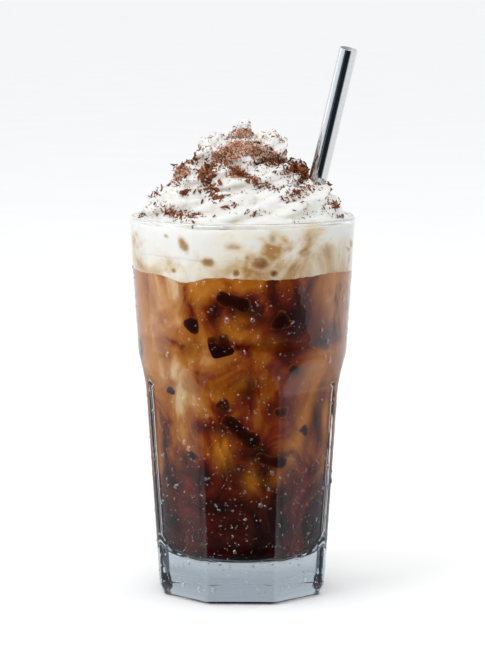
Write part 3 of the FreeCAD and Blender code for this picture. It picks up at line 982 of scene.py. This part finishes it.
def lay(spot, normal, size, shade, curl=0.0):
    """Sets one shaving of a size down on the cream."""
    long = size * dice.uniform(0.9, 1.9)
    wide = size * dice.uniform(0.28, 0.6)
    sections = 3 if size < 1.2 else 6
    points, faces = shaving(long, wide, min(0.35, 0.10 + 0.12 * size),
                            curl or dice.uniform(-0.8, 0.8), sections)
    lie = normal.to_track_quat("Z", "Y").to_matrix()
    spin = Matrix.Rotation(dice.uniform(0, 6.28), 3, "Z")
    lift = Matrix.Rotation(dice.gauss(0, 0.35), 3, "Y")
    turned = points @ np.array(lie @ spin @ lift).T
    turned += np.array(spot + normal * (0.05 + 0.08 * size))
    shavings["parts"].append((turned, faces))
    shavings["shade"] += [min(1.0, max(0.0, shade + dice.gauss(0, 0.13)))] * len(points)
    shavings["spots"].append(spot)


def throw(viewpoint, x, z, azimuth):
    """Where a line from a viewpoint through (x, z) on the axis plane meets the cream
    above the rim, and the normal there, or None."""
    swing = Matrix.Rotation(azimuth, 3, "Z")
    start = swing @ Vector(viewpoint)
    target = swing @ Vector((x, 0, z))
    spot, normal, *_ = cream_tree.ray_cast(start, (target - start).normalized())
    return (spot, normal) if spot and spot.z > LOWEST_SHAVING else None


# drifts as seen from one side: x, z, half width, half height, slope in degrees,
# shavings, size and shade from dark to light
DRIFTS = [
    (-3.6, 178.2, 10.5, 4.2, 32, 420, 0.55, 0.52), (-7.0, 173.5, 6.0, 2.4, 20, 130, 0.6, 0.50),
    (4.5, 177.0, 3.2, 6.0, -25, 150, 0.65, 0.45), (10.6, 172.2, 4.6, 3.6, 0, 190, 0.8, 0.26),
    (12.0, 171.0, 5.4, 1.8, 8, 110, 0.9, 0.18), (15.5, 180.0, 3.5, 1.6, -20, 40, 0.7, 0.5),
    (-24.6, 167.4, 5.0, 4.6, 30, 230, 0.65, 0.55), (-27.0, 163.6, 3.5, 3.0, 0, 60, 0.7, 0.6),
    (-14.6, 167.8, 3.4, 3.4, 10, 60, 1.5, 0.38), (-13.6, 162.0, 3.0, 5.0, 25, 90, 1.3, 0.36),
    (4.6, 163.4, 12.0, 1.7, -20, 190, 1.0, 0.42), (-2.6, 167.6, 3.8, 1.4, -25, 60, 1.3, 0.36),
    (-5.0, 171.6, 4.4, 1.3, 20, 60, 0.8, 0.5), (20.6, 168.4, 4.6, 2.2, -10, 140, 1.4, 0.18),
    (24.0, 165.0, 1.8, 3.0, 0, 40, 1.2, 0.24), (21.5, 158.6, 5.6, 3.4, 30, 110, 0.9, 0.40),
    (27.0, 160.8, 3.0, 1.8, 0, 40, 0.8, 0.4), (-24.5, 150.2, 7.0, 1.6, -6, 170, 0.9, 0.45),
    (-31.5, 152.5, 4.5, 2.6, 10, 50, 0.7, 0.5), (-10.0, 157.2, 3.4, 2.0, 0, 34, 1.4, 0.36),
    (-22.5, 158.8, 2.2, 0.9, 15, 24, 1.3, 0.36), (-5.0, 153.4, 2.6, 0.9, 0, 14, 1.2, 0.36),
    (-34.5, 158.6, 3.0, 1.2, 20, 24, 1.0, 0.34), (39.6, 149.4, 3.0, 1.0, 0, 60, 0.7, 0.3),
    (-40.2, 149.4, 2.4, 1.0, 0, 50, 0.7, 0.3), (36.5, 153.0, 1.2, 0.9, 0, 8, 1.3, 0.3),
    (5.0, 150.4, 9.0, 1.2, 0, 26, 0.8, 0.35), (30.0, 151.0, 6.0, 1.4, 0, 14, 0.7, 0.4),
]


def grate(viewpoint, azimuth, share):
    for x, z, wide, high, slope, count, size, shade in DRIFTS:
        lean = math.radians(slope)
        for _ in range(int(count * share)):
            a, b = dice.gauss(0, 0.6) * wide, dice.gauss(0, 0.6) * high
            hit = throw(viewpoint, x + a * math.cos(lean) - b * math.sin(lean),
                        z + a * math.sin(lean) + b * math.cos(lean), azimuth)
            if hit:
                lay(*hit, size * dice.choice((0.3, 0.4, 0.5, 0.6, 0.8, 1.0, 1.4)), shade)


# where the drifts are seen from
EYE = (21.1, -1099.8, 248.1)
grate(EYE, 0.0, 1.0)
grate((0, -900, 300), math.radians(118), 0.7)
grate((0, -900, 300), math.radians(236), 0.7)
# loose specks all over, thrown from above and from all sides
for _ in range(1500):
    around, height = dice.uniform(0, 2 * math.pi), dice.uniform(149, 186)
    hit = throw((0, -600, 400), dice.gauss(0, 22), height, around)
    if hit:
        lay(*hit, dice.choice((0.25, 0.3, 0.35, 0.45, 0.6, 0.8)), dice.uniform(0.2, 0.6))
# a few large curls where they show
for x, z, size, curl in ((-13.5, 168.6, 3.6, 2.6), (-9.6, 160.0, 3.0, 1.6), (-11.0, 165.6, 3.4, 2.0),
                         (19.0, 168.6, 3.2, -1.6), (22.6, 167.8, 3.6, 1.8), (24.6, 164.4, 2.8, 1.2),
                         (-9.2, 156.6, 2.8, 1.4), (-24.0, 158.6, 2.6, 0.8), (-16.2, 166.0, 2.6, 1.5),
                         (-31.5, 160.4, 2.4, 1.0), (4.6, 150.6, 2.2, 0.9), (36.8, 153.2, 1.9, 0.8)):
    for azimuth in (0.0, 2.1, 4.2):
        hit = throw(EYE, x, z, azimuth)
        if hit:
            lay(*hit, size, 0.42, curl)

chocolate = piece("grated_chocolate", *gathered(shavings["parts"]),
                  grated_milk_chocolate(), "whipped_cream")
chocolate.data.polygons.foreach_set("use_smooth", [False] * len(chocolate.data.polygons))
remember(chocolate, "shade", shavings["shade"])
print("%d shavings" % len(shavings["spots"]))

# %% Stains on the cream
crowd = np.zeros(len(mound_points))
spots = np.array(shavings["spots"])
cell = {}
for index, spot in enumerate(spots):
    cell.setdefault(tuple((spot // 2.0).astype(int)), []).append(index)
for index, point in enumerate(mound_points):
    home = (point // 2.0).astype(int)
    total = 0
    for dx in (-1, 0, 1):
        for dy in (-1, 0, 1):
            for dz in (-1, 0, 1):
                total += len(cell.get((home[0] + dx, home[1] + dy, home[2] + dz), ()))
    crowd[index] = total
dust = np.clip(crowd / 85.0, 0, 1) * 0.62
# how deep each point lies in a fold, which drives the painted shade of the cream
remember(mound, "painted_fold_shade", mound_hollows)
remember(mound, "dust", dust)

# %% [markdown]
# ## Dew on the glass
# Cold glass draws water from the air as fine drops, and some of them grow by joining.
# Each drop is a shallow cap whose edge dips into the glass, so no gap shows under it.
# Its size follows the real mix: dozens of specks for every drop a millimetre wide.


# %% Dew materials
def condensed_water(name, clear, roughness):
    # where clear is below 1 the rest of the drop is plain white diffuse: painted sheen
    material, tree, shader = new_material(name, {
        "Base Color": linear("ffffff"), "Roughness": roughness, "IOR": 1.33,
        "Transmission Weight": clear, "Coat Weight": 1.0, "Coat IOR": 1.7})
    place = place_in_mm(tree)
    skin = add(tree, "ShaderNodeTexNoise", {"Vector": place, "Scale": 1.1})
    bump = add(tree, "ShaderNodeBump", {
        "Height": skin.outputs["Fac"], "Strength": 0.2, "Distance": 0.0001})
    tree.links.new(bump.outputs["Normal"], shader.inputs["Normal"])
    return material


# %% Dew
def drop(angle, height, radius):
    """Points and faces of one cap of water on the outside of the tumbler."""
    around, levels = (6, 2) if radius < 0.32 else ((10, 3) if radius < 0.6 else (18, 6))
    spot = np.array([outer_radius(np.array([angle]), height)[0]])
    step = 0.02
    beside = outer_radius(np.array([angle - step, angle + step]), height)
    above = outer_radius(np.array([angle]), height + 1)[0] - outer_radius(
        np.array([angle]), height - 1)[0]
    out = Vector((math.cos(angle), math.sin(angle), 0))
    along = Vector((-out.y, out.x, 0))
    normal = (out - along * ((beside[1] - beside[0]) / (2 * step * spot[0]))
              - Vector((0, 0, above / 2))).normalized()
    side = Vector((0, 0, 1)).cross(normal).normalized()
    up = normal.cross(side)
    centre = out * spot[0] + Vector((0, 0, height)) - normal * 0.12 * radius
    tall = dice.uniform(1.0, 1.35) if radius > 0.4 else 1.0
    flat = dice.uniform(0.42, 0.6)
    points, faces = [], []
    for level in range(levels):
        bend = math.pi / 2 * level / levels
        for k in range(around):
            turn = 2 * math.pi * k / around
            points.append(centre + radius * (
                math.cos(bend) * (math.cos(turn) * side + tall * math.sin(turn) * up)
                + flat * math.sin(bend) * normal))
    points.append(centre + radius * flat * normal)
    for level in range(levels - 1):
        for k in range(around):
            a, b, after = level * around, (level + 1) * around, (k + 1) % around
            faces.append((a + k, a + after, b + after, b + k))
    for k in range(around):
        faces.append(((levels - 1) * around + k, (levels - 1) * around + (k + 1) % around,
                      len(points) - 1))
    return points, faces


def dew(name, material, sizes):
    parts = []
    for radius in sizes:
        angle, height = dice.uniform(0, 2 * math.pi), dice.uniform(5, 143)
        parts.append(drop(angle, height, radius))
    return piece(name, *gathered(parts), material, "glass")


# the finest drops let 92 percent through and are white for the rest: painted sheen that shows them as
# pale specks
dew("fine_dew", condensed_water("condensed_water_with_painted_sheen", 0.92, 0.08),
    [dice.uniform(0.12, 0.25) for _ in range(4200)])
dew("dew_drops", condensed_water("clear_condensed_water", 1.0, 0.0),
    [dice.uniform(0.28, 0.5) for _ in range(1300)]
    + [dice.uniform(0.5, 1.15) for _ in range(110)])

# %% [markdown]
# ## Drinking straw
# The straw is drawn and polished stainless steel. Steel reflects about 60 percent of
# the light and a polished tube shows the room as lengthwise stripes. The CAD node is
# right as it is, so it only gets its finish.


# %% Steel material
# middle of the CAD straw's foot, and the way it points
STRAW_FOOT = (-3.4, 22.98, 18.39)
STRAW_WAY = tuple(Vector((0.2265, -0.19, 1.0)).normalized())


def polished_stainless_steel():
    material, tree, shader = new_material("polished_stainless_steel", {"Metallic": 1.0})
    place = place_in_mm(tree)
    # draw marks run along the tube, 0.3 mm apart
    marks_place = add(tree, "ShaderNodeVectorMath", {0: place, 1: (3.0, 3.0, 0.12)},
                      operation="MULTIPLY").outputs["Vector"]
    marks = add(tree, "ShaderNodeTexNoise", {"Vector": marks_place, "Scale": 1.0, "Detail": 3.0})
    colour = add(tree, "ShaderNodeValToRGB", {"Fac": marks.outputs["Fac"]}, stops=[
        (0.3, "c9cbcd"), (0.7, "dadcde")]).outputs["Color"]
    tree.links.new(colour, shader.inputs["Base Color"])
    # the bore is not polished: nearer to the axis than 3.4 mm the steel is matte
    from_foot = add(tree, "ShaderNodeVectorMath", {0: place, 1: STRAW_FOOT},
                    operation="SUBTRACT").outputs["Vector"]
    aside = add(tree, "ShaderNodeVectorMath", {0: from_foot, 1: STRAW_WAY},
                operation="CROSS_PRODUCT").outputs["Vector"]
    off_axis = add(tree, "ShaderNodeVectorMath", {0: aside}, operation="LENGTH").outputs["Value"]
    matte = add(tree, "ShaderNodeMapRange", {
        "Value": off_axis, "From Min": 3.3, "From Max": 3.45, "To Min": 0.6,
        "To Max": 0.0}).outputs["Result"]
    rough = add(tree, "ShaderNodeMapRange", {
        "Value": marks.outputs["Fac"], "To Min": 0.05, "To Max": 0.14}).outputs["Result"]
    both = add(tree, "ShaderNodeMath", {0: rough, 1: matte}, operation="ADD").outputs["Value"]
    tree.links.new(both, shader.inputs["Roughness"])
    return material


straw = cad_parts["straw"]
straw.data.materials.clear()
straw.data.materials.append(polished_stainless_steel())

# %% [markdown]
# ## Table, light and air
# The glass stands on a wide pale table, between two large soft lights. One smaller
# light hangs at the upper left and one in front, and another is seen only as a glint
# on the wet glass. The air is bright behind and above and grey level with the glass
# in front. Low in front it is dark, which keeps the steel and the coffee deep.


# %% Table
def pale_table():
    material, tree, shader = new_material("matte_white_laminate", {
        "Roughness": 0.9, "Specular IOR Level": 0.1})
    place = place_in_mm(tree)
    cloudy = add(tree, "ShaderNodeTexNoise", {"Vector": place, "Scale": 0.01, "Detail": 3.0})
    colour = add(tree, "ShaderNodeValToRGB", {"Fac": cloudy.outputs["Fac"]}, stops=[
        (0.3, "fafafa"), (0.7, "fcfcfc")]).outputs["Color"]
    tree.links.new(colour, shader.inputs["Base Color"])
    mesh = bpy.data.meshes.new("table")
    mesh.from_pydata([(-12, -12, 0), (12, -12, 0), (12, 24, 0), (-12, 24, 0)], [], [(0, 1, 2, 3)])
    mesh.materials.append(material)
    table = bpy.data.objects.new("table", mesh)
    table.location.z = -0.0002
    table.visible_glossy = False
    bpy.context.scene.collection.objects.link(table)
    return table


pale_table()


# %% Lights
def soft_light(name, place, aim, size, power):
    light = bpy.data.lights.new(name, "AREA")
    light.shape = "RECTANGLE"
    light.size, light.size_y = size
    light.energy = power
    lamp = bpy.data.objects.new(name, light)
    lamp.location = place
    lamp.rotation_euler = (Vector(aim) - Vector(place)).to_track_quat("-Z", "Y").to_euler()
    bpy.context.scene.collection.objects.link(lamp)
    return lamp


soft_light("left_light", (-1.25, -0.45, 0.62), (0, -0.45, 0.62), (2.1, 1.6), 7.5)
soft_light("right_light", (1.25, -0.35, 0.62), (0, -0.35, 0.62), (1.9, 1.6), 4.2)
key = soft_light("upper_left_light", (-1.0, -0.9, 1.5), (0, 0, 0.14), (0.7, 0.7), 6.5)
fill = soft_light("front_light", (0.3, -1.9, 0.9), (0, 0, 0.12), (1.2, 1.2), 9.0)
glint = soft_light("glint_light", (-0.9, -1.2, 1.3), (0, 0, 0.1), (0.9, 0.9), 32)
glint.visible_diffuse = glint.visible_transmission = False
for lamp in (key, fill):
    lamp.visible_glossy = False


# %% Air
def studio_air():
    world = bpy.data.worlds.new("studio_air")
    world.use_nodes = True
    tree = world.node_tree
    tree.nodes.clear()
    way = add(tree, "ShaderNodeTexCoord").outputs["Generated"]
    split = add(tree, "ShaderNodeSeparateXYZ", {"Vector": way})
    behind = add(tree, "ShaderNodeMapRange", {
        "Value": split.outputs["Y"], "From Min": -0.60, "From Max": 0.40}).outputs["Result"]
    above = add(tree, "ShaderNodeMapRange", {
        "Value": split.outputs["Z"], "From Min": 0.15, "From Max": 0.6}).outputs["Result"]
    # light thrown up by the pale table far to the left and right
    beside = add(tree, "ShaderNodeMath", {0: split.outputs["X"]}, operation="ABSOLUTE")
    aside = add(tree, "ShaderNodeMapRange", {
        "Value": beside.outputs["Value"], "From Min": 0.40, "From Max": 0.62}).outputs["Result"]
    below = add(tree, "ShaderNodeMapRange", {
        "Value": split.outputs["Z"], "From Min": -0.25, "From Max": -0.33}).outputs["Result"]
    table_light = add(tree, "ShaderNodeMath", {0: aside, 1: below}, operation="MULTIPLY")
    level = add(tree, "ShaderNodeMapRange", {
        "Value": split.outputs["Z"], "From Min": -0.20, "From Max": -0.10,
        "To Max": 0.5}).outputs["Result"]
    upper = add(tree, "ShaderNodeMath", {0: above, 1: level}, operation="MAXIMUM").outputs["Value"]
    high = add(tree, "ShaderNodeMath", {0: behind, 1: upper}, operation="MAXIMUM").outputs["Value"]
    both = add(tree, "ShaderNodeMath", {0: high, 1: table_light.outputs["Value"]},
               operation="MAXIMUM").outputs["Value"]
    colour = add(tree, "ShaderNodeValToRGB", {"Fac": both}, stops=[
        (0.0, "20252a"), (0.5, "98a4ae"), (1.0, "ffffff")]).outputs["Color"]
    air = add(tree, "ShaderNodeBackground", {"Color": colour, "Strength": 1.04})
    add(tree, "ShaderNodeOutputWorld", {"Surface": air.outputs["Background"]})
    bpy.context.scene.world = world


studio_air()
bpy.context.scene.view_settings.view_transform = "Standard"

# %% [markdown]
# ## Camera
# A long lens just above the rim looks slightly down, so the tumbler's sides stay
# almost parallel.


# %% Camera
AIM_AZIMUTH = math.radians(1.1)
CAMERA_AWAY, CAMERA_HIGH, CAMERA_PITCH = 1.100, 0.2481, math.radians(7.36)
lens = bpy.data.cameras.new("camera")
lens.lens = 154.8
lens.sensor_width = 36.0
lens.clip_end = 60.0
camera = bpy.data.objects.new("camera", lens)
camera.location = (CAMERA_AWAY * math.sin(AIM_AZIMUTH), -CAMERA_AWAY * math.cos(AIM_AZIMUTH),
                   CAMERA_HIGH)
camera.rotation_euler = (math.pi / 2 - CAMERA_PITCH, 0, AIM_AZIMUTH)
bpy.context.scene.collection.objects.link(camera)
bpy.context.scene.camera = camera
